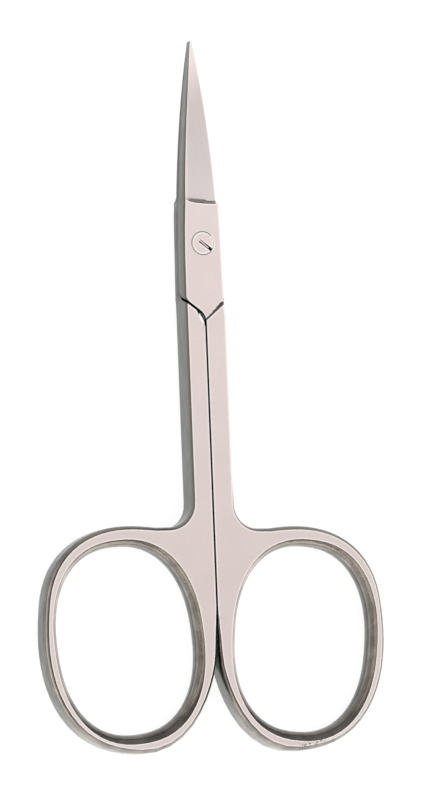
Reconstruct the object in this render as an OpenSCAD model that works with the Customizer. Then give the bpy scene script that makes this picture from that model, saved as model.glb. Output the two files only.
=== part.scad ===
// Cuticle scissors: two forged halves lapped at a box joint and turning on a slotted screw.
// Millimetres. The pivot axis is +Z through the origin, the blade tips point to +Y,
// the closed scissors lie on z = 0 and the slotted face of the screw looks up.

/* [Overall] */
// Distance from the pivot to the blade tips
blade_reach = 26.15; // [25:0.05:27.5]
// Distance from the pivot to the foot of the front ring
handle_reach = 63.85; // [62:0.05:67]
// Thickness of the closed scissors over both faces
body_thick = 4; // [3.6:0.1:4.4]

/* [Box joint] */
// Half width of the box on its blade-spine side, at the shoulder
box_spine_half = 2.76; // [2.6:0.05:3]
// Half width of the box on its cutting side, at the shoulder
box_edge_half = 2.68; // [2.45:0.01:2.9]
// Distance from the pivot up to the step where the blade starts
box_top = 5; // [4.6:0.1:5.6]
// How much higher the step of the back half stands
back_step_rise = 0.5; // [0:0.05:0.7]
// How much narrower the box gets on its cutting side on the way up to the step
box_taper = 0.22; // [0.1:0.02:0.3]
// Cut-back of the box corner above the step
step_corner = 0.16; // [0.04:0.02:0.24]
// Distance from the pivot down to the outer end of the shoulder
shoulder_drop = 6.95; // [6.6:0.05:7.4]
// Slope of the shoulder, down from the side of the box to the middle line
shoulder_slope = 36.7; // [32:0.1:41]
// Reach of the curve that joins the shoulder to the mating face
shoulder_curve = 1.45; // [1:0.05:1.6]
// Radius inside the corner that takes the other half's shank
vee_radius = 1.9; // [1.4:0.1:2.2]
// Radius on the inner top corner of the shank
corner_radius = 2.8; // [2.3:0.1:3]
// Width of the small facet filed on that corner
corner_file = 0.4; // [0.2:0.05:0.5]
// Depth of that facet
corner_file_depth = 0.18; // [0.1:0.02:0.24]
// Gap left at the shoulder when the scissors are closed
shoulder_gap = 0.2; // [0.1:0.01:0.35]
// Gap between the two mating faces
mating_gap = 0.04; // [0.02:0.01:0.06]
// Width, at the side of the shank, of the cut that repeats the shoulder on the outer face
groove_width = 0.55; // [0.4:0.01:0.7]
// Depth of that cut at the side of the shank
groove_depth = 0.22; // [0.1:0.01:0.3]

/* [Blades] */
// Half width of the spine side where the blade leaves the box
spine_root = 2.44; // [2.3:0.02:2.6]
// Half width of the cutting side where the blade leaves the box
edge_root = 2.6; // [2.35:0.02:2.7]
// How far the closed tips stand off the middle line, towards the spine of the front blade
blade_lean = 0.06; // [0:0.01:0.3]
// Half width, and rounding radius, of the closed tip
tip_half = 0.3; // [0.22:0.01:0.4]
// Share of its thickness that the spine loses on the way to the tip
tip_thinning = 0.55; // [0.3:0.01:0.65]
// Thickness left along the cutting edge
edge_land = 0.12; // [0.08:0.01:0.2]
// Length of the cove between the thin cutting side and the box, along the blade
step_run = 0.85; // [0.6:0.05:1]
// How far the line of the step climbs at the spine
step_curl = 0.45; // [0.2:0.05:0.8]
// Depth of the hollow ground into the outer face of the blade
face_hollow = 0.05; // [0.01:0.01:0.1]
// Depth of the hollow ground into the inner face of the blade
hollow_depth = 0.06; // [0.03:0.01:0.1]

/* [Shanks] */
// Half width of the closed pair of shanks
shank_half = 2.8; // [2.5:0.01:2.9]
// How far the outer sides of the closed shanks stand over towards the front ring
shank_lean = 0.12; // [0:0.01:0.2]
// Clear space between the two shanks
shank_gap = 0.16; // [0.1:0.01:0.24]
// Radius between the outer side of the shank and the ring
ring_fillet = 3; // [2.4:0.1:3.4]
// Angle that the rounding of an edge turns through before the flat face cuts it off
edge_arc = 55; // [40:1:80]
// How far the rounding of the long outer edges of box and shank spreads over the face
edge_round = 0.33; // [0.15:0.01:0.4]
// How far it runs down the side
edge_rise = 0.65; // [0.3:0.05:0.8]
// Rounding on the edges along the gap
gap_round = 0.08; // [0.05:0.01:0.12]

/* [Finger rings] */
// Distance from the middle line to the centre of a ring
ring_centre = 9.62; // [9.4:0.05:10]
// Half width of a ring on the side of the gap
ring_inner_half = 10.4; // [10:0.02:11]
// Height of a ring below its centre
ring_lower_half = 16.9; // [16.4:0.1:17.4]
// Lean of the outer curve, its top towards the gap
ring_lean = 5.7; // [3:0.1:7]
// Exponent of the outer curve, where 2 would be an ellipse
ring_power = 2.31; // [2.1:0.01:2.5]
// Width of the finger hole at its narrowest
hole_width = 17.9; // [17:0.05:18.4]
// Height of the finger hole at its narrowest
hole_height = 23.3; // [22:0.1:23.8]
// Lean of the finger hole, its top away from the gap
hole_lean = 5.5; // [3:0.1:7]
// Exponent of the hole curve
hole_power = 2.31; // [2.1:0.01:2.5]
// Wall on the outer side of the finger hole
outer_wall = 1.78; // [1.6:0.02:2.2]
// Wall over the finger hole, at the crown of the ring
crown_wall = 2.43; // [2.2:0.01:3]
// Wall between the finger hole and the gap, at the middle of the hole
inner_wall = 2.56; // [2.4:0.02:3]
// Wall under the finger hole, at the foot of the ring
foot_wall = 2.38; // [2.2:0.02:3]
// How far the rounding of the hole spreads over the face
hole_round = 0.76; // [0.6:0.01:1]
// How far it spreads at the foot of the hole
hole_foot_round = 1.2; // [0.8:0.05:1.3]
// How far the rounding of the outside spreads over the face
rim_round = 0.51; // [0.3:0.01:0.6]
// How far the rounding of the outside runs down the rim
rim_rise = 1; // [0.8:0.1:1.6]
// How much lower the front ring hangs than the back ring
ring_offset = 0.3; // [0:0.05:0.6]

/* [Pivot screw] */
// Diameter of the flush head
head_diameter = 2.8; // [2.6:0.05:3.1]
// Height of the head
head_height = 0.85; // [0.7:0.05:1]
// Diameter of the shoulder that the front half turns on
shoulder_diameter = 2; // [1.8:0.05:2.1]
// Diameter of the threaded end in the back half
thread_diameter = 1.7; // [1.5:0.05:1.75]
// Radial clearance of the turning fit
running_clearance = 0.03; // [0.02:0.01:0.06]
// Radial clearance left round the threaded end
thread_clearance = 0.01; // [0.005:0.005:0.02]
// Width of the screwdriver slot
slot_width = 0.42; // [0.3:0.02:0.5]
// Depth of the slot at its open end
slot_depth = 0.4; // [0.3:0.05:0.5]
// Direction of the slot's open end, from +X
slot_angle = -37; // [-60:1:-20]

/* [Hidden] */
steel = [0.78, 0.76, 0.75];
screw_steel = [0.72, 0.70, 0.69];

gap_half = shank_gap / 2;
mid = body_thick / 2;
under = mid + mating_gap / 2;
upper_depth = body_thick - under;
tan_slope = tan(shoulder_slope);
blade_round_y = blade_reach - tip_half;
vee_corner_y = -shoulder_drop - (box_spine_half + gap_half) * tan_slope;
vee_tangent = vee_radius * tan((90 - shoulder_slope) / 2);
vee_end_y = vee_corner_y - vee_tangent;
corner_y = vee_corner_y - shoulder_gap / cos(shoulder_slope);
corner_tangent = corner_radius * tan((90 - shoulder_slope) / 2);
hole_centre_x = gap_half + inner_wall + hole_width / 2;
hole_centre_up = foot_wall + hole_height / 2;
ring_outer_half = hole_centre_x + hole_width / 2 + outer_wall - ring_centre;
ring_upper_half = foot_wall + hole_height + crown_wall - ring_lower_half;
// Outer curve round its own centre: its lowest point, and the stretch between shank and foot
ring_drop = max([for (a = [240 : 2 : 300]) -ring_curve(a)[1]]);
crown_turn = 95;
foot_turn = -87;
gap_turn = 180;
// Softness of the curve in which a ring leaves the gap, and the stretch in which its edge rounds off
gap_ease = 0.35;
gap_round_run = 9;
keen_round = 0.02;
tip_round = 0.05;
// Height at which the ground face starts over the spine, so that the spine keeps its full height
grind_lift = 0.002;

// Share of the way from the box to the tip
function along(y) = min(1, max(0, (y - box_top) / (blade_round_y - box_top)));

// Curve that both long sides of the blade follow, 1 at the root and 0 at the tip
function taper(y) = 1 - pow(along(y), 1.37 + 0.3 * along(y));

function blade_side(root, y) = tip_half + (root - tip_half) * taper(y);

function spine_top(y) = mid + mid * (1 - tip_thinning * pow(along(y), 4));

function box_spine_x(y) =
    box_spine_half - (box_spine_half - spine_root) * pow((y + shoulder_drop) / (box_top + shoulder_drop), 3);

function box_edge_x(y) =
    box_edge_half - box_taper * (y + shoulder_drop) / (box_top + shoulder_drop);

// Point on an oval round the origin with its own half size on each side, turned by lean
function oval(right, left, up, down, power, lean, a) =
    let (c = cos(a),
         s = sin(a),
         w = c >= 0 ? right : left,
         h = s >= 0 ? up : down,
         r = pow(pow(abs(c) / w, power) + pow(abs(s) / h, power), -1 / power))
    [r * cos(a + lean), r * sin(a + lean)];

function ring_curve(a) =
    oval(ring_outer_half, ring_inner_half, ring_upper_half, ring_lower_half, ring_power, ring_lean, a);

// The ring stops at the gap, where the two rings lie side by side, and leaves it in a soft curve
function ring_point(foot, a) =
    let (p = ring_curve(a),
         over = ring_centre + p[0] - gap_half)
    [gap_half + (over + sqrt(over * over + gap_ease * gap_ease)) / 2, ring_drop - foot + p[1]];

function blend(a, b, t) = a + (b - a) * max(0, min(1, t));

// The closed blades lean a little; side is 1 in the front half and -1 in the back half
function lean_x(side, y) = -side * blade_lean * along(y);

function step_y(side) = box_top + (side < 0 ? back_step_rise : 0);

function shank_x(side) = shank_half + side * shank_lean;

// Stations of the outline, each [left x, left y, right x, right y, left top, right top,
// left rounding, right rounding, height of the left rounding, height of the right rounding]
function tip_stations(side) =
    let (x = lean_x(side, blade_round_y))
    [for (a = [22, 55])
        [x - tip_half * sin(a), blade_round_y + tip_half * cos(a),
         x + tip_half * sin(a), blade_round_y + tip_half * cos(a),
         spine_top(blade_reach), spine_top(blade_reach),
         keen_round, keen_round / 2, keen_round, keen_round / 2]];

function blade_stations(side, count) =
    [for (i = [0 : count])
        let (t = 1 - i / count,
             foot = step_y(side) + step_run,
             y = foot + (blade_round_y - foot) * pow(t, 0.9),
             x = lean_x(side, y))
        [x - blade_side(spine_root, y), y,
         x + blade_side(edge_root, y), y,
         spine_top(y), spine_top(y),
         blend(edge_round, tip_round, along(y)), keen_round,
         blend(edge_rise, tip_round, along(y)), keen_round]];

function step_stations(side) =
    [for (k = [0.62, 0.34, 0.14, 0])
        let (y = step_y(side) + step_run * k,
             yl = step_y(side) + step_run * (0.7 + 0.3 * k),
             corner = box_edge_x(step_y(side)) - step_corner)
        [-blade_side(spine_root, yl), yl,
         corner + (edge_root - corner) * sqrt(k), y,
         body_thick, body_thick,
         edge_round, tip_round, edge_rise, tip_round]];

function box_stations(side) =
    [for (k = [0.05, 0.12, 0.3, 0.55, 0.8, 1])
        let (yl = blend(step_y(side) + step_run * 0.7, -shoulder_drop, k),
             yr = blend(step_y(side), -shoulder_drop, k))
        [-box_spine_x(min(yl, box_top)), yl,
         box_edge_x(yr) - step_corner * pow(max(0, 1 - k / 0.12), 2), yr,
         body_thick, body_thick,
         edge_round, edge_round * 0.7, edge_rise, edge_rise * 0.7]];

// Left side: along the vee and round its inner corner. Right side: down the shank.
function vee_points() =
    let (tx = gap_half - vee_tangent * cos(shoulder_slope),
         ty = vee_corner_y + vee_tangent * sin(shoulder_slope),
         cx = gap_half - vee_radius)
    concat([for (k = [0.4, 0.8]) [blend(-box_spine_half, tx, k), blend(-shoulder_drop, ty, k)]],
           [for (i = [0 : 6])
               let (a = (90 - shoulder_slope) * (1 - i / 6))
               [cx + vee_radius * cos(a), vee_end_y + vee_radius * sin(a)]]);

// Past the shoulder the side of the box widens a little into the shank
function vee_stations(side) =
    [for (i = [0 : 8])
        let (p = vee_points()[i])
        [p[0], p[1],
         blend(box_edge_half, shank_x(side), i / 5), blend(-shoulder_drop, vee_end_y, (i + 1) / 9),
         body_thick, body_thick,
         gap_round, edge_round, gap_round, edge_rise]];

function shank_end(foot) = ring_point(foot, crown_turn)[1] + ring_fillet;

function shank_stations(foot, side, count) =
    [for (i = [1 : count])
        let (y = blend(vee_end_y, shank_end(foot) + 0.4, i / count))
        [gap_half, y, shank_x(side), y,
         body_thick, body_thick,
         gap_round, edge_round, gap_round, edge_rise]];

function ring_stations(foot, side) =
    let (arc = 8,
         turn = 36,
         total = arc + turn,
         run = 31,
         y0 = shank_end(foot),
         y1 = ring_point(foot, gap_turn)[1])
    [for (i = [1 : total])
        let (right = i <= arc
                ? [shank_x(side) + ring_fillet * (1 - cos(90 * i / arc)),
                   y0 - ring_fillet * sin(90 * i / arc)]
                : ring_point(foot, crown_turn + (foot_turn - crown_turn) * (i - arc - 1) / (turn - 1)),
             left = i <= run
                ? [gap_half, blend(y0, y1, i / run)]
                : ring_point(foot, gap_turn + (360 + foot_turn - 6 - gap_turn) * (i - run) / (total - run)),
             outer_share = (i - 3) / arc,
             gap_share = (ring_drop - foot + 1 - left[1]) / gap_round_run)
        [left[0], left[1], right[0], right[1],
         body_thick, body_thick,
         blend(gap_round, rim_round, gap_share), blend(edge_round, rim_round, outer_share),
         blend(gap_round, rim_rise, gap_share), blend(edge_rise, rim_rise, outer_share)]];

function stations(foot, side) =
    concat(tip_stations(side), blade_stations(side, 15), step_stations(side), box_stations(side),
           vee_stations(side), shank_stations(foot, side, 5), ring_stations(foot, side));

// Unit vector pointing out of the outline at point i of a closed loop
function outward(loop, i) =
    let (n = len(loop),
         a = loop[(i + n - 1) % n],
         b = loop[(i + 1) % n],
         d = [b[0] - a[0], b[1] - a[1]],
         l = max(0.0001, norm(d)))
    [d[1] / l, -d[0] / l];

// Rounding of an edge that the face cuts off before it lies flat: the share of its spread and of
// its height at the angle a, which runs from 0 at the side to edge_arc at the face
function arc_in(a) = (1 - cos(a)) / (1 - cos(edge_arc));

function arc_down(a) = 1 - sin(a) / sin(edge_arc);

// Closed body between paired points of the two sides, with rounded long edges
module ladder(st) {
    n = len(st);
    m = 2 * n;
    // The loop runs down the left side and back up the right side
    loop = concat([for (i = [0 : n - 1]) [st[i][0], st[i][1]]],
                  [for (i = [n - 1 : -1 : 0]) [st[i][2], st[i][3]]]);
    tops = concat([for (i = [0 : n - 1]) st[i][4]], [for (i = [n - 1 : -1 : 0]) st[i][5]]);
    rounds = concat([for (i = [0 : n - 1]) st[i][6]], [for (i = [n - 1 : -1 : 0]) st[i][7]]);
    rises = concat([for (i = [0 : n - 1]) st[i][8]], [for (i = [n - 1 : -1 : 0]) st[i][9]]);
    turns = [for (i = [0 : 4]) edge_arc * i / 4];
    k = len(turns);
    points = concat(
        [for (a = [for (j = [k - 1 : -1 : 0]) turns[j]])
            for (i = [0 : m - 1])
                let (o = outward(loop, i), d = rounds[i] * arc_in(a))
                [loop[i][0] - o[0] * d, loop[i][1] - o[1] * d, rises[i] * arc_down(a)]],
        [for (a = turns)
            for (i = [0 : m - 1])
                let (o = outward(loop, i), d = rounds[i] * arc_in(a))
                [loop[i][0] - o[0] * d, loop[i][1] - o[1] * d, tops[i] - rises[i] * arc_down(a)]]);
    last = 2 * k - 1;
    walls = [for (r = [0 : last - 1])
        for (i = [0 : m - 1])
            let (a = r * m + i, b = r * m + (i + 1) % m, c = b + m, d = a + m)
            each [[a, c, b], [a, d, c]]];
    under_cap = [for (i = [0 : n - 2])
        let (a = i, b = i + 1, c = m - 2 - i, d = m - 1 - i)
        each [[a, b, c], [a, c, d]]];
    top_cap = [for (i = [0 : n - 2])
        let (q = last * m, a = q + i, b = q + i + 1, c = q + m - 2 - i, d = q + m - 1 - i)
        each [[a, c, b], [a, d, c]]];
    polyhedron(points, concat(walls, under_cap, top_cap), convexity = 10);
}

// Stack of closed loops with equal point counts; the ends are fans from the first point
module stack(levels) {
    m = len(levels[0]);
    k = len(levels);
    walls = [for (r = [0 : k - 2])
        for (i = [0 : m - 1])
            let (a = r * m + i, b = r * m + (i + 1) % m, c = b + m, d = a + m)
            each [[a, c, b], [a, d, c]]];
    under_cap = [for (i = [1 : m - 2]) [0, i, i + 1]];
    top_cap = [for (i = [1 : m - 2]) [(k - 1) * m, (k - 1) * m + i + 1, (k - 1) * m + i]];
    polyhedron([for (l = levels) each l], concat(walls, under_cap, top_cap), convexity = 10);
}

// Finger hole with a rounded mouth on both faces
module finger_hole(foot) {
    depth = mid * 0.9;
    // Each level: share of the rounding's spread, height
    heights = [for (i = [4 : -1 : 0]) let (a = edge_arc * i / 4) [arc_in(a), depth * arc_down(a)]];
    profile = concat(
        [[1.8, -0.5]],
        [for (h = heights) h],
        [for (i = [len(heights) - 1 : -1 : 0]) [heights[i][0], body_thick - heights[i][1]]],
        [[1.8, body_thick + 0.5]]);
    count = 72;
    stack([for (p = profile)
        [for (i = [0 : count - 1])
            let (a = 360 * i / count,
                 w = hole_width / 2 + hole_round * p[0],
                 up = hole_height / 2 + hole_round * p[0],
                 down = hole_height / 2 + hole_foot_round * p[0],
                 q = oval(w, w, up, down, hole_power, -hole_lean, a))
            [hole_centre_x + q[0], hole_centre_up - foot + q[1], p[1]]]]);
}

// Elliptical curve of the shoulder: 0 at the outer face, the full reach at the mating face
function curve_reach(share) = shoulder_curve * (1 - sqrt(max(0, 1 - pow(share, 2))));

// Space under the upper layer, down to the shoulder that carries the other half
module lower_pocket() {
    angle = 90 - shoulder_slope;
    cx = gap_half + corner_radius;
    cy = corner_y - corner_tangent;
    depths = [-1, 0, corner_file_depth / under, 0.35, 0.55, 0.72, 0.86, 0.95, 1];
    stack([for (q = depths)
        let (z = q < 0 ? -1 : under * q,
             f = q < 0 ? 0 : curve_reach(q),
             filed = q <= 0 ? corner_file : 0)
        concat(
            [[-9, blade_reach + 4, z], [-9, cy, z]],
            [for (i = [0 : 6])
                let (a = 180 - angle * i / 6,
                     r = corner_radius + f - filed * sin(180 * i / 6))
                [max(gap_half, cx + r * cos(a)), cy + r * sin(a), z]],
            [[7 - f * sin(shoulder_slope),
              corner_y + (7 - gap_half) * tan_slope + f * cos(shoulder_slope), z],
             [9, blade_reach + 4, z]])]);
}

// Undercut of the vee so that it nests over the curve of the other half's shoulder
module vee_undercut() {
    pts = vee_points();
    depths = [0, 0.12, 0.35, 0.55, 0.72, 0.86, 0.95, 1, 1.3];
    stack([for (q = [for (j = [len(depths) - 1 : -1 : 0]) depths[j]])
        let (z = body_thick - upper_depth * q,
             f = q == 0 ? -0.06 : q > 1 ? shoulder_curve : curve_reach(q) - 0.012 * (1 - q))
        concat(
            [[-6, vee_end_y - 1, z]],
            [[gap_half - 0.03, vee_end_y - 1, z]],
            [for (i = [8 : -1 : 2])
                let (a = (90 - shoulder_slope) * (1 - (i - 2) / 6))
                [min(gap_half + 0.03 * (7 - i), pts[i][0] + f * cos(a)), pts[i][1] + f * sin(a), z]],
            [[-4 + f * sin(shoulder_slope),
              -shoulder_drop + (4 - box_spine_half) * tan_slope + f * cos(shoulder_slope), z]])]);
}

// Shallow hollow along the inner face of the blade
module hollow_grind(side) {
    y0 = step_y(side) + 1.2;
    y1 = blade_reach - 3;
    steps = 8;
    levels = [for (j = [0 : steps])
        let (y = blend(y0, y1, j / steps),
             h = 0.7 * blade_side(spine_root, y),
             x = lean_x(side, y),
             d = hollow_depth * sqrt(max(0.02, sin(180 * (0.04 + 0.92 * j / steps)))))
        concat(
            [[x - h, y, under - 0.4]],
            [for (i = [0 : 6]) let (u = -1 + i / 3) [x + u * h, y, under - 0.004 + d * (1 - u * u)]],
            [[x + h, y, under - 0.4]])];
    stack([for (l = levels) l]);
}

// Line of the step across the blade, with u running from the spine to the cutting edge
function step_line(side, u) = step_y(side) + step_curl * pow(1 - u, 4);

// Point on the ground outer face of the blade. It leaves the box in a cove and then falls from
// the spine to the cutting edge with a shallow hollow between them.
function ground_point(side, u, y) =
    let (left = lean_x(side, y) - blade_side(spine_root, y) + blend(edge_round, tip_round, along(y)),
         right = lean_x(side, y) + blade_side(edge_root, y),
         drop = (spine_top(y) - under - edge_land) * u + face_hollow * 4 * u * (1 - u) * taper(y),
         cove = pow(max(0, 1 - (y - step_line(side, u)) / step_run), 2.5))
    [blend(left, right, u), y, spine_top(y) + grind_lift - (1 - cove) * drop];

// Material ground off to make that face, in rows from the tip back to the box
module blade_relief(side) {
    rows = 15;
    cove_rows = 5;
    columns = 8;
    clear = 0.6;
    shares = [for (i = [0 : columns]) i / columns];
    stack([for (j = [cove_rows + rows : -1 : 0])
        let (ys = [for (u = shares)
                 let (y = step_line(side, u))
                 j <= cove_rows
                     ? y + step_run * pow(j / cove_rows, 1.4)
                     : blend(y + step_run, blade_reach + clear, (j - cove_rows) / rows)],
             face = [for (i = [0 : columns]) ground_point(side, shares[i], ys[i])],
             last = face[columns])
        concat([[face[0][0], face[0][1], body_thick + clear]],
               face,
               [[last[0] + clear, last[1], last[2]],
                [last[0] + clear, last[1], body_thick + clear]])]);
}

// V-shaped cut on the outer face, wide at the side and closing at the apex
module face_groove() {
    apex = [gap_half, vee_corner_y - 0.62];
    side = [box_edge_half, -shoulder_drop - 0.27];
    run = norm(side - apex);
    along_cut = (side - apex) / run;
    across = [-along_cut[1], along_cut[0]];
    lift = 0.05;
    stack([for (k = [[0, 0.35], [1 + 0.8 / run, 1.1]])
        let (at = apex + (side - apex) * k[0],
             depth = groove_depth * k[1],
             half_width = groove_width / 2 * k[1] * (depth + lift) / depth,
             a = at - across * half_width,
             b = at + across * half_width)
        [[a[0], a[1], body_thick + lift],
         [at[0], at[1], body_thick - depth],
         [b[0], b[1], body_thick + lift]]]);
}

module half(foot, side) {
    difference() {
        ladder(stations(foot, side));
        finger_hole(foot);
        lower_pocket();
        vee_undercut();
        hollow_grind(side);
        blade_relief(side);
        face_groove();
        children();
    }
}

module front_half() {
    color(steel)
        half(handle_reach, 1) {
            translate([0, 0, -1])
                cylinder(d = shoulder_diameter + 2 * running_clearance, h = body_thick + 2, $fn = 64);
            translate([0, 0, body_thick - head_height - mating_gap / 2])
                cylinder(d = head_diameter + 2 * running_clearance, h = head_height + 1, $fn = 64);
        }
}

module back_half() {
    color(steel)
        translate([0, 0, body_thick])
            rotate([0, 180, 0])
                half(handle_reach - ring_offset, -1)
                    translate([0, 0, -1])
                        cylinder(d = thread_diameter + 2 * thread_clearance, h = body_thick + 2, $fn = 64);
}

module pivot_screw() {
    color(screw_steel)
        difference() {
            union() {
                cylinder(d = thread_diameter, h = mid, $fn = 64);
                translate([0, 0, mid - mating_gap / 2])
                    cylinder(d = shoulder_diameter, h = mid, $fn = 64);
                translate([0, 0, body_thick - head_height])
                    cylinder(d = head_diameter, h = head_height, $fn = 64);
            }
            // The slot runs out through the rim on one side and dies away on the other
            rotate([0, 0, slot_angle])
                rotate([90, 0, 0])
                    translate([0, 0, -slot_width / 2])
                        linear_extrude(height = slot_width)
                            polygon([[-head_diameter * 0.3, body_thick + 0.01],
                                     [head_diameter * 0.6, body_thick - slot_depth],
                                     [head_diameter * 0.6, body_thick + 1],
                                     [-head_diameter * 0.3, body_thick + 1]]);
        }
}

front_half();
back_half();
pivot_screw();
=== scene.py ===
"""Looks for a pair of cuticle scissors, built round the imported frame.

It is laid out as a Blender add-on and runs as a script. Lengths are in metres in the frame of the CAD: the
pivot is the Z axis, the blades point to +Y, and the faces that the camera sees point to +Z.
"""

import math
from collections import namedtuple
import bpy
from bpy.props import FloatProperty, FloatVectorProperty, PointerProperty
from bpy.types import Operator, Panel, PropertyGroup
from mathutils import Matrix, Vector


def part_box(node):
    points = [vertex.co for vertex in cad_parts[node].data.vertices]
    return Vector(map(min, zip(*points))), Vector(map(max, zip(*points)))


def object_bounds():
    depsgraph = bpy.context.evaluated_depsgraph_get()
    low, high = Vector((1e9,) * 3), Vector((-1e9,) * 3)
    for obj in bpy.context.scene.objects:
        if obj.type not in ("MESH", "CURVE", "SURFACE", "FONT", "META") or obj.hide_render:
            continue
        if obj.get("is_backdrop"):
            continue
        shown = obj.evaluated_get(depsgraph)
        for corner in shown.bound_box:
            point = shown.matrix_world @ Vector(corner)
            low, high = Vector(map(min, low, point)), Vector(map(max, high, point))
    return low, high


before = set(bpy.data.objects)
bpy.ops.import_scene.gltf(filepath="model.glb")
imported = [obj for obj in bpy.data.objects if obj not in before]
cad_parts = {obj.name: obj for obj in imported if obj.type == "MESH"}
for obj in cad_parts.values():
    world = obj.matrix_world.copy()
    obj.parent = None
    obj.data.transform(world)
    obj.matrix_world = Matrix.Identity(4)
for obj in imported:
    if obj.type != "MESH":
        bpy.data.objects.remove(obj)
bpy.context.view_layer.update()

bl_info = {
    "name": "Cuticle scissors",
    "version": (1, 0, 0),
    "blender": (4, 5, 0),
    "location": "View3D > Sidebar > Scissors",
    "description": "Steel finishes for two forged halves and their screw, with a pale studio",
    "category": "Object",
}

MM = 0.001
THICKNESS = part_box("front_half")[1].z
HEAD_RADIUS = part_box("pivot_screw")[1].x

# Smooth shading: faces that meet at more than the crease angle keep their edge
CREASE_ANGLE = math.radians(32)
DOUBLE_DISTANCE = 0.0005 * MM

# Where one finish, tone, painted shade or painted highlight gives way to the next along Y: from, to
RING_TO_SHANK = (-40 * MM, -34 * MM)
RING_TO_FOOT = (-57 * MM, -60 * MM)
RIGHT_HIGHLIGHT_SPAN = (-34 * MM, -30 * MM)
FACE_TONE_SPAN = (-45 * MM, 10 * MM)
COVE_FOOT = (4.4 * MM, 4.5 * MM)
COVE_HEAD = (6.2 * MM, 7 * MM)
SEAM_THINNING = (3.5 * MM, 6 * MM)
PIT_START = (-62.0 * MM, -62.4 * MM)
# Length over which the painted shade in the seam sets in
SEAM_FADE = 1 * MM

# Depths below the front face: of the filed corner and of the groove at most, of the painted shade in the slot
# where it starts and is full, and of the painted highlight in the slot at least
CORNER_DEPTH = 0.25 * MM
GROOVE_DEPTH = 0.35 * MM
SLOT_SHADE_DEPTHS = (0.02 * MM, 0.06 * MM)
SLOT_GLINT_DEPTH = 0.3 * MM

# Sizes of the noise that breaks up the finishes, and heights of the bumps
CLOUD_SIZE = 5 * MM
SCAR_SIZE = 3 * MM
GROOVE_GRAIN = 0.35 * MM
PIT_GRAIN = 0.3 * MM
WAVE_HEIGHT = 0.12 * MM
GRIT_HEIGHT = 0.01 * MM

# A face is what is more level than a rounded edge gets. The levelness at which it starts, and is certain
FACE_LEVELNESS = (0.84, 0.9)
# The product of the X and Z parts of the normal that marks the ground bevel of a blade, where it starts and
# is full, and the length of the bevel's fade at the box
BEVEL_LEAN = (0.1, 0.2)
BEVEL_FADE = 0.15 * MM
# Likeness of the bevelled normal to the real one, as a cosine, where the painted edge highlight starts and is
# full
STRIP_LIKENESS = (0.9995, 0.99)
# The painted shade in the cove gets darker along X: from, to
COVE_ACROSS = (-2.2 * MM, 1 * MM)
# The filed corner: its reach along X, its lower end, and the least and most level that its facet gets
CORNER_ACROSS = (-1.9 * MM, 0.0)
CORNER_END = -12 * MM
CORNER_LEVELNESS = (0.6, 0.985)
# Distances outside the screw head over which the painted shade round it fades out
HEAD_SHADE = (0.1 * MM, 0.2 * MM)
# Half the width of the filed groove at its apex and at its mouth
GROOVE_HALF_WIDTHS = (0.1 * MM, 0.3 * MM)
# Distances from their middle at which the pits start to fade, and are gone
PIT_REACH = (1.2 * MM, 2 * MM)

# The floor lies this far under the scissors and reaches this far to each side
FLOOR_GAP = 0.02 * MM
FLOOR_REACH = 3.0

# Light of the tent from its dim side (0) to its bright axis (1). A colour ramp holds 1 at most, so the levels
# are divided by the gain
TENT_GAIN = 2
TENT_LEVELS = (
    (0.0, (0.36, 0.35, 0.34, 1)),
    (0.3, (0.4, 0.39, 0.38, 1)),
    (0.55, (0.36, 0.35, 0.34, 1)),
    (0.75, (0.36, 0.36, 0.355, 1)),
    (0.84, (0.398, 0.437, 0.46, 1)),
    (0.88, (0.403, 0.437, 0.46, 1)),
    (0.95, (0.52, 0.525, 0.525, 1)),
    (1.0, (0.515, 0.52, 0.52, 1)),
)

# What a finish can go by at a point of the surface: its place, the way it faces on smooth shading, its
# levelness (0 on a side, 1 on a face), and the normals of the smooth surface and of its facet
Spot = namedtuple("Spot", "place x y z faces_x faces_y faces_z levelness smooth_normal facet_normal")


def linear(hex_colour):
    """The linear RGBA of an sRGB hex colour such as #E4D6D2."""
    digits = hex_colour.lstrip("#")
    values = [int(digits[i : i + 2], 16) / 255 for i in (0, 2, 4)]
    return tuple(v / 12.92 if v <= 0.04045 else ((v + 0.055) / 1.055) ** 2.4 for v in values) + (1.0,)


def add_node(tree, kind, links=None, stops=(), **settings):
    """One node with its settings and links.

    links maps an input's name or number to a value, to an output, or to a node, which stands for its own
    output. stops are the (position, colour) pairs of a colour ramp."""
    node = tree.nodes.new(kind)
    for key, value in settings.items():
        setattr(node, key, value)
    for position, colour in stops[1:-1]:
        node.color_ramp.elements.new(position)
    for element, (position, colour) in zip(node.color_ramp.elements if stops else (), stops):
        element.position = position
        element.color = colour
    for key, value in (links or {}).items():
        named = [socket for socket in node.inputs if socket.enabled and socket.name == key]
        socket = named[0] if named else node.inputs[key]
        if isinstance(value, bpy.types.Node):
            value = next(output for output in value.outputs if output.enabled)
        if isinstance(value, bpy.types.NodeSocket):
            tree.links.new(value, socket)
        else:
            socket.default_value = value
    return node


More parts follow.
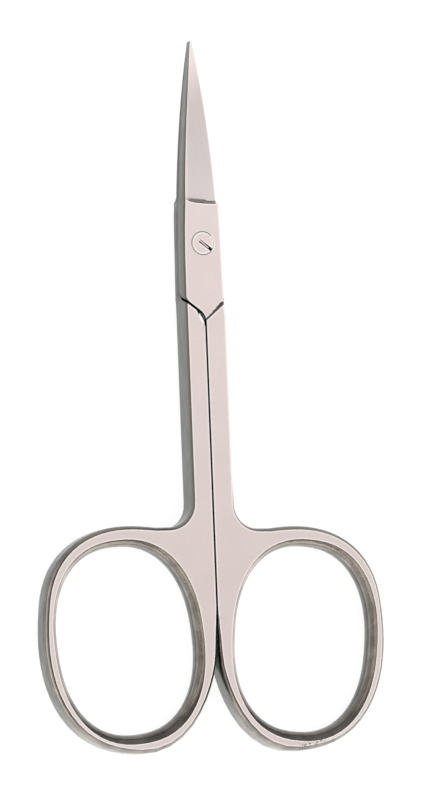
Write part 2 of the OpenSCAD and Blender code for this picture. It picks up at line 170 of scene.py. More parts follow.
class SteelSettings(PropertyGroup):
    """Colours and surface sizes of the steel, with the colours of the light and shade painted on it."""

    face_colour: FloatVectorProperty(
        name="Face colour", description="Colour of the belt-ground flat faces",
        default=linear("#E1D2CE"), subtype="COLOR", size=4, min=0, max=1,
    )
    # Painted highlight along the edges of the faces, and on the long right edges of box and shanks
    edge_highlight_colour: FloatVectorProperty(
        name="Edge colour", description="Colour of the burnished line where a flat face ends",
        default=linear("#F6EEEA"), subtype="COLOR", size=4, min=0, max=1,
    )
    # Painted shade: the sides are coloured a darker grey than the faces, for the dim surroundings they
    # reflect
    side_shade_colour: FloatVectorProperty(
        name="Side colour", description="Colour of the tumbled sides",
        default=linear("#6A6D69"), subtype="COLOR", size=4, min=0, max=1,
    )
    # Painted shade: the rounded edges are coloured a darker brown, for the dim warm light that they reflect
    rounding_shade_colour: FloatVectorProperty(
        name="Rounding colour", description="Colour of the rounded edges between the sides and the faces",
        default=linear("#7A7571"), subtype="COLOR", size=4, min=0, max=1,
    )
    # Painted highlight: the light line in the rounded edges of the rings
    rim_highlight_colour: FloatVectorProperty(
        name="Rim colour", description="Colour of the light line in the rounded edges of the rings",
        default=linear("#B8ACA0"), subtype="COLOR", size=4, min=0, max=1,
    )
    turn_shadow_colour: FloatVectorProperty(
        name="Turn shadow colour",
        description="Colour of the thin dark lines where a side ends, and before the faces of the rings",
        default=linear("#5E5B57"), subtype="COLOR", size=4, min=0, max=1,
    )
    # Painted highlight: the thin light line where a rounded edge starts, and the light on the outer side of
    # the feet
    turn_highlight_colour: FloatVectorProperty(
        name="Turn light colour", description="Colour of the thin light line where a rounded edge starts",
        default=linear("#8E8983"), subtype="COLOR", size=4, min=0, max=1,
    )
    # Painted shade in the cove, and the patchy grey of the filed groove
    cove_shade_and_groove_colour: FloatVectorProperty(
        name="Scale colour",
        description="Grey forging scale that the belt doesn't reach, in coves and grooves",
        default=linear("#7C7673"), subtype="COLOR", size=4, min=0, max=1,
    )
    # Painted shade in the slot, the seam and round the screw head, and the dark of the pits in the foot
    dirt_and_shade_colour: FloatVectorProperty(
        name="Dirt colour", description="Dark grinding dust in the slot, the seam and round the screw head",
        default=linear("#1A1817"), subtype="COLOR", size=4, min=0, max=1,
    )
    # Painted highlight: the small bright spots on the filed corner and in the screw slot
    highlight_colour: FloatVectorProperty(
        name="Polish colour", description="Colour of the small spots that are polished bright",
        default=linear("#FFFFFF"), subtype="COLOR", size=4, min=0, max=1,
    )
    face_roughness: FloatProperty(
        name="Face roughness", description="Roughness of the ground faces",
        default=0.3, subtype="FACTOR", min=0, max=1,
    )
    side_roughness: FloatProperty(
        name="Side roughness", description="Roughness of the tumbled sides",
        default=0.22, subtype="FACTOR", min=0, max=1,
    )
    grit_spacing: FloatProperty(
        name="Grit spacing", description="Distance between the marks of the grinding belt",
        default=0.25 * MM, min=0.02 * MM, max=2 * MM, unit="LENGTH", precision=6,
    )
    wave_length: FloatProperty(
        name="Wave length", description="Distance between the low humps that tumbling leaves on the sides",
        default=2.2 * MM, min=0.5 * MM, max=10 * MM, unit="LENGTH", precision=5,
    )
    # Width of the painted highlight along the edges of the faces
    edge_highlight_width: FloatProperty(
        name="Burnish width", description="Width of the bright line along the edges of the faces",
        default=0.36 * MM, min=0, max=1 * MM, unit="LENGTH", precision=6,
    )
    # Width of the painted shade where the two halves meet on the sides
    seam_shade_width: FloatProperty(
        name="Seam width", description="Width of the dust line where the two halves meet on the sides",
        default=0.7 * MM, min=0, max=1 * MM, unit="LENGTH", precision=6,
    )
    blade_start: FloatProperty(
        name="Blade start", description="Distance from the pivot to where the ground bevel of a blade starts",
        default=5.75 * MM, unit="LENGTH", precision=5,
    )
    shoulder_start: FloatProperty(
        name="Shoulder start", description="Distance from the pivot down to where the seam on the sides ends",
        default=7.2 * MM, unit="LENGTH", precision=5,
    )
    groove_apex: FloatVectorProperty(
        name="Groove apex", description="Inner end of the filed groove on the front face",
        default=(0.08 * MM, -9.6 * MM), size=2, subtype="XYZ", unit="LENGTH",
    )
    groove_mouth: FloatVectorProperty(
        name="Groove mouth", description="End of the groove at the side",
        default=(2.65 * MM, -7.2 * MM), size=2, subtype="XYZ", unit="LENGTH",
    )
    pit_place: FloatProperty(
        name="Pit place",
        description="Distance of the pits in the foot of the front ring from the pivot, across",
        default=11.9 * MM, unit="LENGTH", precision=5,
    )
    slot_angle: FloatProperty(
        name="Slot angle", description="Turn of the screw slot from the horizontal",
        default=math.radians(-37), subtype="ANGLE",
    )
    slot_width: FloatProperty(
        name="Slot width", description="Width of the screw slot",
        default=0.42 * MM, unit="LENGTH", precision=6,
    )


class StageSettings(PropertyGroup):
    """Camera, floor and light."""

    camera_azimuth: FloatProperty(
        name="Camera azimuth", description="Angle of the camera to the left of the face",
        default=math.radians(19.809), subtype="ANGLE",
    )
    camera_elevation: FloatProperty(
        name="Camera elevation", description="Angle of the camera towards the blade tips",
        default=math.radians(-5.933), subtype="ANGLE",
    )
    camera_roll: FloatProperty(
        name="Camera roll", description="Turn of the picture about its middle",
        default=math.radians(2.2695), subtype="ANGLE",
    )
    camera_distance: FloatProperty(
        name="Camera distance", description="From the lens to the point it looks at",
        default=473.95 * MM, unit="LENGTH", subtype="DISTANCE",
    )
    camera_target: FloatVectorProperty(
        name="Camera target", description="Point in the middle of the picture",
        default=(1.436 * MM, -19.592 * MM, 2.004 * MM), subtype="XYZ", unit="LENGTH",
    )
    focal_length: FloatProperty(
        name="Focal length", description="Focal length of the lens, in millimetres",
        default=169.79, unit="CAMERA", min=1,
    )
    sensor_length: FloatProperty(
        name="Sensor length", description="Long side of the film, in millimetres",
        default=36, unit="CAMERA", min=1,
    )
    floor_colour: FloatVectorProperty(
        name="Floor colour", description="Colour of the light that the pale table gives off",
        default=linear("#FBFBFB"), subtype="COLOR", size=4, min=0, max=1,
    )
    floor_shade: FloatVectorProperty(
        name="Floor shade", description="Colour of the table itself, which takes the soft shadow",
        default=(0.3, 0.3, 0.3, 1), subtype="COLOR", size=4, min=0, max=1,
    )
    floor_glow: FloatProperty(
        name="Floor glow", description="Light that the table gives off from below", default=0.88, min=0,
    )
    light_level: FloatProperty(
        name="Light level", description="Strength of the light tent", default=1.0, min=0,
    )
    light_lean: FloatProperty(
        name="Light lean", description="How far the bright side of the tent leans to the right",
        default=math.radians(26.6), subtype="ANGLE",
    )


def read_spot(tree):
    """The outputs that a finish can go by at each point of the surface."""
    coords = add_node(tree, "ShaderNodeTexCoord")
    place = add_node(tree, "ShaderNodeSeparateXYZ", {0: coords.outputs["Object"]})
    normal = add_node(tree, "ShaderNodeSeparateXYZ", {0: coords.outputs["Normal"]})
    levelness = add_node(tree, "ShaderNodeMath", {0: normal.outputs["Z"]}, operation="ABSOLUTE")
    geometry = add_node(tree, "ShaderNodeNewGeometry")
    return Spot(
        coords.outputs["Object"], *place.outputs, *normal.outputs, levelness.outputs[0],
        geometry.outputs["Normal"], geometry.outputs["True Normal"],
    )


def belt_ground_area(tree, steel, spot):
    """Mask of what the grinding belt has reached: the flat faces, and the bevels of the blades."""
    # The bevel of a blade leans to one side only, so the product of two parts of the normal finds it
    leaning = add_node(tree, "ShaderNodeMath", {0: spot.faces_x, 1: spot.faces_z}, operation="MULTIPLY")
    leaned = add_node(
        tree, "ShaderNodeMapRange", {"Value": leaning, "From Min": BEVEL_LEAN[0], "From Max": BEVEL_LEAN[1]},
        interpolation_type="SMOOTHSTEP",
    )
    on_blade = add_node(
        tree, "ShaderNodeMapRange",
        {"Value": spot.y, "From Min": steel.blade_start, "From Max": steel.blade_start + BEVEL_FADE},
    )
    bevel = add_node(tree, "ShaderNodeMath", {0: leaned, 1: on_blade}, operation="MULTIPLY")
    face = add_node(
        tree, "ShaderNodeMapRange",
        {"Value": spot.levelness, "From Min": FACE_LEVELNESS[0], "From Max": FACE_LEVELNESS[1]},
        interpolation_type="SMOOTHSTEP",
    )
    return add_node(tree, "ShaderNodeMath", {0: face, 1: bevel}, operation="MAXIMUM")


def ground_face(tree, steel, spot, speck):
    """Colour of the ground faces: warm, faintly clouded and specked."""
    cloud = add_node(
        tree, "ShaderNodeTexNoise", {"Vector": spot.place, "Scale": 1 / CLOUD_SIZE, "Detail": 3.0}
    )
    cloud_tone = add_node(
        tree, "ShaderNodeMapRange",
        {"Value": cloud.outputs[0], "From Min": 0.3, "From Max": 0.7, "To Min": 0.975, "To Max": 1.015},
    )
    speck_tone = add_node(
        tree, "ShaderNodeMapRange",
        {"Value": speck.outputs[0], "From Min": 0.3, "From Max": 0.7, "To Min": 0.97, "To Max": 1.02},
    )
    # The faces are a little darker towards the rings and lighter towards the blade tips
    tone_along = add_node(
        tree, "ShaderNodeMapRange",
        {"Value": spot.y, "From Min": FACE_TONE_SPAN[0], "From Max": FACE_TONE_SPAN[1], "To Min": 0.925, "To Max": 1.05},
    )
    even = add_node(tree, "ShaderNodeMath", {0: cloud_tone, 1: tone_along}, operation="MULTIPLY")
    tone = add_node(tree, "ShaderNodeMath", {0: even, 1: speck_tone}, operation="MULTIPLY")
    return add_node(
        tree, "ShaderNodeVectorMath", {"Vector": tuple(steel.face_colour)[:3], "Scale": tone},
        operation="SCALE",
    )


def shaded_rounded_edge(tree, steel, spot, on_ring):
    """Painted shade and highlights of a side turning up into its rounded edge, without the ring tone."""
    # Painted shade by levelness: grey, a thin painted shadow line, a thin painted highlight, then brown
    side_stops = (
        (0.03, tuple(steel.side_shade_colour)),
        (0.08, tuple(steel.turn_shadow_colour)),
        (0.15, tuple(steel.turn_shadow_colour)),
        (0.2, tuple(steel.turn_highlight_colour)),
        (0.28, tuple(steel.turn_highlight_colour)),
        (0.36, tuple(steel.rounding_shade_colour)),
    )
    plain = add_node(tree, "ShaderNodeValToRGB", {0: spot.levelness}, side_stops)
    # Rings get a painted highlight and a thin painted shadow before the face, except where they face the
    # blades
    ring_stops = (
        *side_stops,
        (0.46, tuple(steel.rounding_shade_colour)),
        (0.53, tuple(steel.rim_highlight_colour)),
        (0.63, tuple(steel.rim_highlight_colour)),
        (0.7, tuple(steel.turn_shadow_colour)),
    )
    lined = add_node(tree, "ShaderNodeValToRGB", {0: spot.levelness}, ring_stops)
    facing_away = add_node(
        tree, "ShaderNodeMapRange",
        {"Value": spot.faces_y, "From Min": 0.3, "From Max": 0.6, "To Min": 1.0, "To Max": 0.0},
    )
    ring_share = add_node(tree, "ShaderNodeMath", {0: on_ring, 1: facing_away}, operation="MULTIPLY")
    edged = add_node(tree, "ShaderNodeMix", {"Factor": ring_share, "A": plain, "B": lined}, data_type="RGBA")
    # Painted light on the outer side of the feet, without lines
    at_foot = add_node(
        tree, "ShaderNodeMapRange",
        {"Value": spot.y, "From Min": RING_TO_FOOT[0], "From Max": RING_TO_FOOT[1]},
    )
    outward = add_node(
        tree, "ShaderNodeMapRange", {"Value": spot.faces_y, "From Min": -0.3, "From Max": -0.6}
    )
    foot_light = add_node(tree, "ShaderNodeMath", {0: at_foot, 1: outward}, operation="MULTIPLY")
    return add_node(
        tree, "ShaderNodeMix", {"Factor": foot_light, "A": edged, "B": tuple(steel.turn_highlight_colour)},
        data_type="RGBA",
    )


def side_shading(tree, steel, spot):
    """Colour of the sides and their rounded edges, mostly painted shade and highlights.

    It goes from grey to brown, patchy on the rings, with painted light on them where they face the feet and
    painted shade where they face the blades, and with a painted highlight on the right."""
    on_ring = add_node(
        tree, "ShaderNodeMapRange",
        {
            "Value": spot.y, "From Min": RING_TO_SHANK[0], "From Max": RING_TO_SHANK[1],
            "To Min": 1.0, "To Max": 0.0,
        },
    )
    edge = shaded_rounded_edge(tree, steel, spot, on_ring)
    # Tumbling wears box and shanks evenly and leaves the rings patchy. Painted light brightens the rings
    # where they face the feet, and painted shade darkens them where they face the blades
    scar = add_node(
        tree, "ShaderNodeTexNoise",
        {"Vector": spot.place, "Scale": 1 / SCAR_SIZE, "Detail": 4.0, "Roughness": 0.65, "Distortion": 0.5},
    )
    spotted = add_node(
        tree, "ShaderNodeMapRange",
        {"Value": scar.outputs[0], "From Min": 0.35, "From Max": 0.65, "To Min": 0.6, "To Max": 1.05},
    )
    lit_towards_feet = add_node(
        tree, "ShaderNodeMapRange",
        {"Value": spot.faces_y, "From Min": -0.8, "From Max": 0.4, "To Min": 1.65, "To Max": 0.85},
    )
    patchy = add_node(tree, "ShaderNodeMath", {0: spotted, 1: lit_towards_feet}, operation="MULTIPLY")
    tone_and_light = add_node(tree, "ShaderNodeMix", {"Factor": on_ring, "A": 0.97, "B": patchy}, data_type="FLOAT")
    # The sides' painted shade, times the patchy ring tone and its painted light
    tumbled = add_node(tree, "ShaderNodeVectorMath", {"Vector": edge, "Scale": tone_and_light}, operation="SCALE")
    # Painted highlight on the long edges on the right of box and shanks
    rightward = add_node(
        tree, "ShaderNodeMapRange", {"Value": spot.faces_x, "From Min": 0.3, "From Max": 0.6},
        interpolation_type="SMOOTHSTEP",
    )
    edgewise = add_node(
        tree, "ShaderNodeMapRange", {"Value": spot.levelness, "From Min": 0.1, "From Max": 0.3}
    )
    straight = add_node(
        tree, "ShaderNodeMapRange", {"Value": spot.y, "From Min": RIGHT_HIGHLIGHT_SPAN[0], "From Max": RIGHT_HIGHLIGHT_SPAN[1]}
    )
    on_right = add_node(tree, "ShaderNodeMath", {0: rightward, 1: edgewise}, operation="MULTIPLY")
    right_highlight = add_node(tree, "ShaderNodeMath", {0: on_right, 1: straight}, operation="MULTIPLY")
    return add_node(
        tree, "ShaderNodeMix", {"Factor": right_highlight, "A": tumbled, "B": tuple(steel.edge_highlight_colour)},
        data_type="RGBA",
    )


def painted_edge_highlight(tree, steel, spot, ground):
    """Mask of the painted highlight on the strip of a ground face beside its edge.

    It is found where a bevelled normal leaves the real one."""
    bevelled = add_node(tree, "ShaderNodeBevel", {"Radius": steel.edge_highlight_width}, samples=8)
    likeness = add_node(
        tree, "ShaderNodeVectorMath", {0: bevelled, 1: spot.smooth_normal}, operation="DOT_PRODUCT"
    )
    near_edge = add_node(
        tree, "ShaderNodeMapRange",
        {"Value": likeness, "From Min": STRIP_LIKENESS[0], "From Max": STRIP_LIKENESS[1]},
        interpolation_type="SMOOTHSTEP",
    )
    return add_node(tree, "ShaderNodeMath", {0: near_edge, 1: ground}, operation="MULTIPLY")


def steel_material(name, steel, *overlays):
    """Stainless steel, forged to shape.

    Its faces are belt-ground, which makes them even, satin and a little warm. Its sides are only tumbled,
    which leaves them smoother and wavy; their darker grey and their brown rounded edges are painted shade.
    A painted highlight runs where a face ends. Each overlay is a function that gives the mask and the colour
    of pits, patchy grey, painted shade or a painted highlight on the steel."""
    material = bpy.data.materials.new(name)
    material.use_nodes = True
    tree = material.node_tree
    tree.nodes.clear()
    spot = read_spot(tree)
    # The marks of a fine belt are too fine to show, so they are drawn coarser, at the grit spacing
    speck = add_node(
        tree, "ShaderNodeTexNoise", {"Vector": spot.place, "Scale": 1 / steel.grit_spacing, "Detail": 2.0}
    )
    ground = belt_ground_area(tree, steel, spot)
    side = side_shading(tree, steel, spot)
    face = ground_face(tree, steel, spot, speck)
    colour = add_node(tree, "ShaderNodeMix", {"Factor": ground, "A": side, "B": face}, data_type="RGBA")
    # Painted highlight along the edges of the ground faces
    highlighted = painted_edge_highlight(tree, steel, spot, ground)
    colour = add_node(
        tree, "ShaderNodeMix", {"Factor": highlighted, "A": colour, "B": tuple(steel.edge_highlight_colour)},
        data_type="RGBA",
    )
    # Pits and patchy grey, and painted shade and highlights, laid over the steel
    for overlay in overlays:
        mask, overlay_colour = overlay(tree, steel, spot)
        colour = add_node(
            tree, "ShaderNodeMix", {"Factor": mask, "A": colour, "B": tuple(overlay_colour)}, data_type="RGBA"
        )

    roughness = add_node(
        tree, "ShaderNodeMapRange",
        {"Value": ground, "To Min": steel.side_roughness, "To Max": steel.face_roughness},
    )
    # Tumbling leaves low humps on the sides, and the belt fine marks on the faces
    wave = add_node(
        tree, "ShaderNodeTexNoise", {"Vector": spot.place, "Scale": 1 / steel.wave_length, "Detail": 1.0}
    )
    unground = add_node(tree, "ShaderNodeMath", {0: 1.0, 1: ground}, operation="SUBTRACT")
    humps = add_node(tree, "ShaderNodeMath", {0: wave.outputs[0], 1: unground}, operation="MULTIPLY")
    waves = add_node(tree, "ShaderNodeBump", {"Strength": 0.8, "Distance": WAVE_HEIGHT, "Height": humps})
    grit = add_node(
        tree, "ShaderNodeBump",
        {"Strength": 0.1, "Distance": GRIT_HEIGHT, "Height": speck.outputs[0], "Normal": waves},
    )
    shader = add_node(
        tree, "ShaderNodeBsdfPrincipled",
        {"Base Color": colour, "Metallic": 1.0, "Roughness": roughness, "Normal": grit},
    )
    add_node(tree, "ShaderNodeOutputMaterial", {"Surface": shader})
    return material


def shade_in_seam(tree, steel, spot):
    """Painted shade, a dark line where the two halves meet on the sides of the box.

    It thins out down the side of the back half and along the blade."""
    share = steel.seam_shade_width / THICKNESS
    levels = (
        (0.0, 0.0), (0.5 - 1.6 * share, 0.2), (0.5 - 0.7 * share, 0.8), (0.5 + 0.1 * share, 0.8),
        (0.5 + 0.5 * share, 0.0),
    )
    stops = [(height, (level, level, level, 1)) for height, level in levels]
    height = add_node(tree, "ShaderNodeMath", {0: spot.z, 1: THICKNESS}, operation="DIVIDE")
    near = add_node(tree, "ShaderNodeValToRGB", {0: height}, stops)
    end = -steel.shoulder_start
    above = add_node(
        tree, "ShaderNodeMapRange", {"Value": spot.y, "From Min": end, "From Max": end + SEAM_FADE}
    )
    below = add_node(
        tree, "ShaderNodeMapRange",
        {
            "Value": spot.y, "From Min": SEAM_THINNING[0], "From Max": SEAM_THINNING[1],
            "To Min": 1.0, "To Max": 0.2,
        },
    )
    there = add_node(tree, "ShaderNodeMath", {0: above, 1: below}, operation="MULTIPLY")
    sideways = add_node(tree, "ShaderNodeMath", {0: spot.faces_x}, operation="ABSOLUTE")
    steep = add_node(tree, "ShaderNodeMapRange", {"Value": sideways, "From Min": 0.5, "From Max": 0.8})
    on_side = add_node(tree, "ShaderNodeMath", {0: there, 1: steep}, operation="MULTIPLY")
    return add_node(tree, "ShaderNodeMath", {0: near, 1: on_side}, operation="MULTIPLY"), steel.dirt_and_shade_colour


def glint_on_corner(tree, steel, spot):
    """Painted highlight on the small facet filed on the corner of the shank in the shoulder gap."""
    facet = add_node(tree, "ShaderNodeSeparateXYZ", {0: spot.facet_normal})
    # The slope of the facet, and the box round the corner that it is filed on
    limits = (
        (facet.outputs["Z"], "LESS_THAN", CORNER_LEVELNESS[1]),
        (facet.outputs["Z"], "GREATER_THAN", CORNER_LEVELNESS[0]),
        (spot.z, "GREATER_THAN", THICKNESS - CORNER_DEPTH),
        (spot.x, "LESS_THAN", CORNER_ACROSS[1]),
        (spot.x, "GREATER_THAN", CORNER_ACROSS[0]),
        (spot.y, "LESS_THAN", -steel.shoulder_start),
        (spot.y, "GREATER_THAN", CORNER_END),
    )
    mask = 1.0
    for value, test, limit in limits:
        within = add_node(tree, "ShaderNodeMath", {0: value, 1: limit}, operation=test)
        mask = add_node(tree, "ShaderNodeMath", {0: mask, 1: within}, operation="MULTIPLY")
    return mask, steel.highlight_colour


def shade_in_cove(tree, steel, spot):
    """Painted shade, grey, on the cove where the thin blade meets the box, lighter towards the left."""
    rise = add_node(tree, "ShaderNodeMath", {0: spot.faces_y}, operation="ABSOLUTE")
    steep = add_node(
        tree, "ShaderNodeMapRange", {"Value": rise, "From Min": 0.12, "From Max": 0.3},
        interpolation_type="SMOOTHSTEP",
    )
    above_box = add_node(
        tree, "ShaderNodeMapRange",
        {"Value": spot.y, "From Min": COVE_FOOT[0], "From Max": COVE_FOOT[1], "To Min": 0.0, "To Max": 0.9},
    )
    below_blade = add_node(
        tree, "ShaderNodeMapRange",
        {"Value": spot.y, "From Min": COVE_HEAD[0], "From Max": COVE_HEAD[1], "To Min": 1.0, "To Max": 0.0},
    )
    across = add_node(
        tree, "ShaderNodeMapRange",
        {
            "Value": spot.x, "From Min": COVE_ACROSS[0], "From Max": COVE_ACROSS[1],
            "To Min": 0.45, "To Max": 1.0,
        },
    )
    there = add_node(tree, "ShaderNodeMath", {0: above_box, 1: below_blade}, operation="MULTIPLY")
    deep = add_node(tree, "ShaderNodeMath", {0: steep, 1: there}, operation="MULTIPLY")
    return add_node(tree, "ShaderNodeMath", {0: deep, 1: across}, operation="MULTIPLY"), steel.cove_shade_and_groove_colour


def grey_in_groove(tree, steel, spot):
    """Patchy grey in the filed groove that carries the line of the shoulder on to the other side."""
    apex, mouth = Vector(steel.groove_apex), Vector(steel.groove_mouth)
    along = (mouth - apex).normalized()
    square = Vector((-along.y, along.x))
    plan = add_node(tree, "ShaderNodeCombineXYZ", {"X": spot.x, "Y": spot.y})
    across = add_node(
        tree, "ShaderNodeVectorMath", {0: plan, 1: (square.x, square.y, 0)}, operation="DOT_PRODUCT"
    )
    gap = add_node(tree, "ShaderNodeMath", {0: across, 1: square.dot(apex)}, operation="SUBTRACT")
    distance = add_node(tree, "ShaderNodeMath", {0: gap}, operation="ABSOLUTE")
    half_width = add_node(
        tree, "ShaderNodeMapRange",
        {
            "Value": spot.x, "From Min": apex.x, "From Max": mouth.x,
            "To Min": GROOVE_HALF_WIDTHS[0], "To Max": GROOVE_HALF_WIDTHS[1],
        },
    )
    inside = add_node(tree, "ShaderNodeMath", {0: distance, 1: half_width}, operation="LESS_THAN")
    front = add_node(
        tree, "ShaderNodeMath", {0: spot.z, 1: THICKNESS - GROOVE_DEPTH}, operation="GREATER_THAN"
    )
    right = add_node(tree, "ShaderNodeMath", {0: spot.x, 1: apex.x}, operation="GREATER_THAN")
    there = add_node(tree, "ShaderNodeMath", {0: front, 1: right}, operation="MULTIPLY")
    grain = add_node(
        tree, "ShaderNodeTexNoise",
        {"Vector": plan, "Scale": 1 / GROOVE_GRAIN, "Detail": 2.0, "Roughness": 0.7},
    )
    patchy = add_node(
        tree, "ShaderNodeMapRange",
        {"Value": grain.outputs[0], "From Min": 0.42, "From Max": 0.58, "To Min": 0.1, "To Max": 1.0},
    )
    filled = add_node(tree, "ShaderNodeMath", {0: inside, 1: patchy}, operation="MULTIPLY")
    return add_node(tree, "ShaderNodeMath", {0: filled, 1: there}, operation="MULTIPLY"), steel.cove_shade_and_groove_colour


def pits_in_foot(tree, steel, spot):
    """Small pits that the belt has left in the face at the foot of the front ring."""
    plan = add_node(tree, "ShaderNodeCombineXYZ", {"X": spot.x, "Y": spot.y})
    grain = add_node(tree, "ShaderNodeTexNoise", {"Vector": plan, "Scale": 1 / PIT_GRAIN, "Detail": 1.0})
    pits = add_node(
        tree, "ShaderNodeMapRange",
        {"Value": grain.outputs[0], "From Min": 0.53, "From Max": 0.6, "To Min": 0.0, "To Max": 0.7},
    )
    low = add_node(
        tree, "ShaderNodeMapRange", {"Value": spot.y, "From Min": PIT_START[0], "From Max": PIT_START[1]}
    )
    shifted = add_node(tree, "ShaderNodeMath", {0: spot.x, 1: steel.pit_place}, operation="SUBTRACT")
    distance = add_node(tree, "ShaderNodeMath", {0: shifted}, operation="ABSOLUTE")
    near = add_node(
        tree, "ShaderNodeMapRange",
        {"Value": distance, "From Min": PIT_REACH[0], "From Max": PIT_REACH[1], "To Min": 1.0, "To Max": 0.0},
    )
    on_face = add_node(tree, "ShaderNodeMath", {0: spot.faces_z, 1: 0.95}, operation="GREATER_THAN")
    mask = pits
    for other in (low, near, on_face):
        mask = add_node(tree, "ShaderNodeMath", {0: mask, 1: other}, operation="MULTIPLY")
    return mask, steel.dirt_and_shade_colour


def shade_round_head(tree, steel, spot):
    """Painted shade in a dark line round the screw head, which fades out at its right."""
    plan = add_node(tree, "ShaderNodeCombineXYZ", {"X": spot.x, "Y": spot.y})
    radius = add_node(tree, "ShaderNodeVectorMath", {0: plan}, operation="LENGTH")
    inner, outer = HEAD_RADIUS + HEAD_SHADE[0], HEAD_RADIUS + HEAD_SHADE[1]
    ring = add_node(
        tree, "ShaderNodeMapRange",
        {"Value": radius, "From Min": inner, "From Max": outer, "To Min": 0.7, "To Max": 0.0},
        interpolation_type="SMOOTHSTEP",
    )
    fade_start, fade_end = 0.7 * HEAD_RADIUS, 0.95 * HEAD_RADIUS
    left = add_node(
        tree, "ShaderNodeMapRange",
        {"Value": spot.x, "From Min": fade_start, "From Max": fade_end, "To Min": 1.0, "To Max": 0.1},
        interpolation_type="SMOOTHSTEP",
    )
    return add_node(tree, "ShaderNodeMath", {0: ring, 1: left}, operation="MULTIPLY"), steel.dirt_and_shade_colour


def slot_directions(steel):
    """Unit vectors along the screw slot, towards its lower end, and across it."""
    cosine, sine = math.cos(steel.slot_angle), math.sin(steel.slot_angle)
    return (cosine, sine, 0), (-sine, cosine, 0)


def shade_in_slot(tree, steel, spot):
    """Painted shade on the walls of the screw slot, in the corners of its floor and at its lower end."""
    ahead, sideways = slot_directions(steel)
    plan = add_node(tree, "ShaderNodeCombineXYZ", {"X": spot.x, "Y": spot.y})
    along = add_node(tree, "ShaderNodeVectorMath", {0: plan, 1: ahead}, operation="DOT_PRODUCT")
    across = add_node(tree, "ShaderNodeVectorMath", {0: plan, 1: sideways}, operation="DOT_PRODUCT")
    # More painted shade lies along the lower wall, so the unshaded strip is off the middle
    shifted = add_node(tree, "ShaderNodeMath", {0: across, 1: 0.15 * steel.slot_width}, operation="SUBTRACT")
    off_strip = add_node(tree, "ShaderNodeMath", {0: shifted}, operation="ABSOLUTE")
    corner = add_node(
        tree, "ShaderNodeMapRange",
        {"Value": off_strip, "From Min": 0.12 * steel.slot_width, "From Max": 0.22 * steel.slot_width},
    )
    shaded_end = add_node(
        tree, "ShaderNodeMapRange",
        {"Value": along, "From Min": 0.68 * HEAD_RADIUS, "From Max": 0.74 * HEAD_RADIUS},
    )
    in_shade = add_node(tree, "ShaderNodeMath", {0: corner, 1: shaded_end}, operation="MAXIMUM")
    depth = add_node(tree, "ShaderNodeMath", {0: THICKNESS, 1: spot.z}, operation="SUBTRACT")
    below_face = add_node(
        tree, "ShaderNodeMapRange",
        {"Value": depth, "From Min": SLOT_SHADE_DEPTHS[0], "From Max": SLOT_SHADE_DEPTHS[1]},
    )
    mask = add_node(tree, "ShaderNodeMath", {0: in_shade, 1: below_face}, operation="MULTIPLY")
    return mask, steel.dirt_and_shade_colour


def glint_in_slot(tree, steel, spot):
    """Painted highlight on the floor of the slot, from partway along it."""
    ahead, _ = slot_directions(steel)
    plan = add_node(tree, "ShaderNodeCombineXYZ", {"X": spot.x, "Y": spot.y})
    along = add_node(tree, "ShaderNodeVectorMath", {0: plan, 1: ahead}, operation="DOT_PRODUCT")
    start = add_node(
        tree, "ShaderNodeMapRange",
        {"Value": along, "From Min": 0.3 * HEAD_RADIUS, "From Max": 0.5 * HEAD_RADIUS},
    )
    deep = add_node(
        tree, "ShaderNodeMath", {0: spot.z, 1: THICKNESS - SLOT_GLINT_DEPTH}, operation="LESS_THAN"
    )
    return add_node(tree, "ShaderNodeMath", {0: start, 1: deep}, operation="MULTIPLY"), steel.highlight_colour


def shade_by_angle(piece):
    """Shades a CAD node smoothly round its curves, and keeps its edges.

    The nodes are shared by all pieces."""
    group = bpy.data.node_groups.get("shade_by_angle")
    if group is None:
        group = bpy.data.node_groups.new("shade_by_angle", "GeometryNodeTree")
        for way in ("INPUT", "OUTPUT"):
            group.interface.new_socket("Geometry", in_out=way, socket_type="NodeSocketGeometry")
        start = add_node(group, "NodeGroupInput")
        joined = add_node(
            group, "GeometryNodeMergeByDistance", {"Geometry": start, "Distance": DOUBLE_DISTANCE}
        )
        angle = add_node(group, "GeometryNodeInputMeshEdgeAngle")
        crease = add_node(
            group, "ShaderNodeMath", {0: angle.outputs[0], 1: CREASE_ANGLE}, operation="GREATER_THAN"
        )
        shaded = add_node(
            group, "GeometryNodeSetMeshNormal",
            {"Mesh": joined, "Remove Custom": True, "Edge Sharpness": crease, "Face Sharpness": False},
        )
        add_node(group, "NodeGroupOutput", {0: shaded})
    piece.modifiers.new("shade_by_angle", "NODES").node_group = group
    weighted = piece.modifiers.new("face_weighted_normals", "WEIGHTED_NORMAL")
    weighted.keep_sharp = True
    weighted.weight = 100


def dress(node, material):
    """Gives a CAD node's object one material and smooth shading."""
    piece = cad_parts[node]
    piece.data.materials.clear()
    piece.data.materials.append(material)
    shade_by_angle(piece)


class SCISSORS_OT_halves(Operator):
    """Finishes the two forged halves."""

    bl_idname = "scissors.halves"
    bl_label = "Forged halves"

    def execute(self, context):
        steel = context.scene.scissors_steel
        front_overlays = (shade_in_cove, grey_in_groove, pits_in_foot, shade_in_seam, shade_round_head)
        back_overlays = (shade_in_cove, shade_in_seam, glint_on_corner)
        dress("front_half", steel_material("forged_stainless_front", steel, *front_overlays))
        dress("back_half", steel_material("forged_stainless_back", steel, *back_overlays))
        return {"FINISHED"}


class SCISSORS_OT_screw(Operator):
    """Finishes the pivot screw."""

    bl_idname = "scissors.screw"
    bl_label = "Pivot screw"

    def execute(self, context):
        steel = context.scene.scissors_steel
        # Turned from bar and ground flush with the half round it, so its head has the finish of the face
        overlays = (glint_in_slot, shade_in_slot)
        dress("pivot_screw", steel_material("turned_stainless_ground_flush", steel, *overlays))
        return {"FINISHED"}


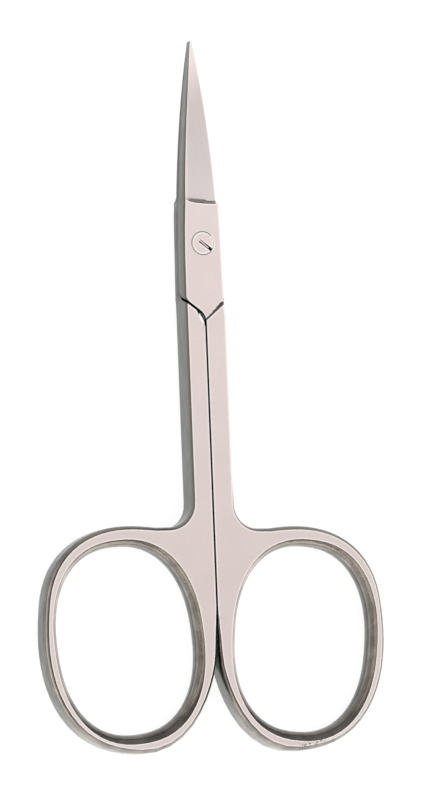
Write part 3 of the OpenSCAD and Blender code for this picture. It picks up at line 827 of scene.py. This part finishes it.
def place_camera(stage):
    """Camera at the photograph's angle, looking down at the closed scissors from their left."""
    azimuth, elevation, roll = stage.camera_azimuth, stage.camera_elevation, stage.camera_roll
    back = Vector((
        -math.sin(azimuth) * math.cos(elevation),
        math.sin(elevation),
        math.cos(azimuth) * math.cos(elevation),
    ))
    level = (-back).cross(Vector((0, 1, 0))).normalized()
    upright = level.cross(-back)
    right = math.cos(roll) * level - math.sin(roll) * upright
    up = math.sin(roll) * level + math.cos(roll) * upright
    data = bpy.data.cameras.new("camera")
    data.sensor_width = stage.sensor_length
    data.lens = stage.focal_length
    data.clip_start = 10 * MM
    data.clip_end = 50
    camera = bpy.data.objects.new("camera", data)
    place = Matrix((right, up, back)).transposed().to_4x4()
    place.translation = Vector(stage.camera_target) + back * stage.camera_distance
    camera.matrix_world = place
    bpy.context.scene.collection.objects.link(camera)
    bpy.context.scene.camera = camera


def light_tent(stage):
    """A soft tent that is brightest overhead and to the right, and dim and warm low down on the left."""
    world = bpy.data.worlds.new("light_tent")
    world.use_nodes = True
    tree = world.node_tree
    tree.nodes.clear()
    coords = add_node(tree, "ShaderNodeTexCoord")
    axis = (math.sin(stage.light_lean), 0.0, math.cos(stage.light_lean))
    towards = add_node(
        tree, "ShaderNodeVectorMath", {0: coords.outputs["Generated"], 1: axis}, operation="DOT_PRODUCT"
    )
    share = add_node(tree, "ShaderNodeMath", {0: towards, 1: 0.5, 2: 0.5}, operation="MULTIPLY_ADD")
    level = add_node(tree, "ShaderNodeValToRGB", {0: share}, TENT_LEVELS)
    background = add_node(
        tree, "ShaderNodeBackground", {"Color": level.outputs[0], "Strength": TENT_GAIN * stage.light_level}
    )
    add_node(tree, "ShaderNodeOutputWorld", {"Surface": background})
    bpy.context.scene.world = world


def lay_floor(stage):
    """A wide pale table just under the scissors, of matt white card, which gives off an even light."""
    mesh = bpy.data.meshes.new("floor")
    corners = [(x * FLOOR_REACH, y * FLOOR_REACH, 0) for x, y in ((-1, -1), (1, -1), (1, 1), (-1, 1))]
    mesh.from_pydata(corners, [], [(0, 1, 2, 3)])
    floor = bpy.data.objects.new("floor", mesh)
    floor.location.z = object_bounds()[0].z - FLOOR_GAP
    bpy.context.scene.collection.objects.link(floor)
    material = bpy.data.materials.new("matt_white_card")
    material.use_nodes = True
    tree = material.node_tree
    tree.nodes.clear()
    shader = add_node(
        tree, "ShaderNodeBsdfPrincipled",
        {
            "Base Color": tuple(stage.floor_shade), "Roughness": 0.9,
            "Emission Color": tuple(stage.floor_colour), "Emission Strength": stage.floor_glow,
        },
    )
    add_node(tree, "ShaderNodeOutputMaterial", {"Surface": shader})
    mesh.materials.append(material)
    floor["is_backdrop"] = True


class SCISSORS_OT_stage(Operator):
    """Sets the camera, the pale floor and the light tent."""

    bl_idname = "scissors.stage"
    bl_label = "Stage"

    def execute(self, context):
        stage = context.scene.scissors_stage
        place_camera(stage)
        light_tent(stage)
        lay_floor(stage)
        context.scene.view_settings.view_transform = "Standard"
        return {"FINISHED"}


class SCISSORS_PT_panel(Panel):
    """Buttons for the pieces and the stage, with their settings."""

    bl_idname = "SCISSORS_PT_panel"
    bl_label = "Cuticle scissors"
    bl_space_type = "VIEW_3D"
    bl_region_type = "UI"
    bl_category = "Scissors"

    def draw(self, context):
        for operator in OPERATORS:
            self.layout.operator(operator.bl_idname)
        for settings in (context.scene.scissors_steel, context.scene.scissors_stage):
            for key in settings.bl_rna.properties.keys():
                if key not in ("rna_type", "name"):
                    self.layout.prop(settings, key)


OPERATORS = (SCISSORS_OT_halves, SCISSORS_OT_screw, SCISSORS_OT_stage)
CLASSES = (SteelSettings, StageSettings, *OPERATORS, SCISSORS_PT_panel)


def register():
    for item in CLASSES:
        bpy.utils.register_class(item)
    bpy.types.Scene.scissors_steel = PointerProperty(type=SteelSettings)
    bpy.types.Scene.scissors_stage = PointerProperty(type=StageSettings)


def unregister():
    del bpy.types.Scene.scissors_stage
    del bpy.types.Scene.scissors_steel
    for item in reversed(CLASSES):
        bpy.utils.unregister_class(item)


def main():
    register()
    bpy.ops.scissors.halves()
    bpy.ops.scissors.screw()
    bpy.ops.scissors.stage()


if __name__ == "__main__":
    main()
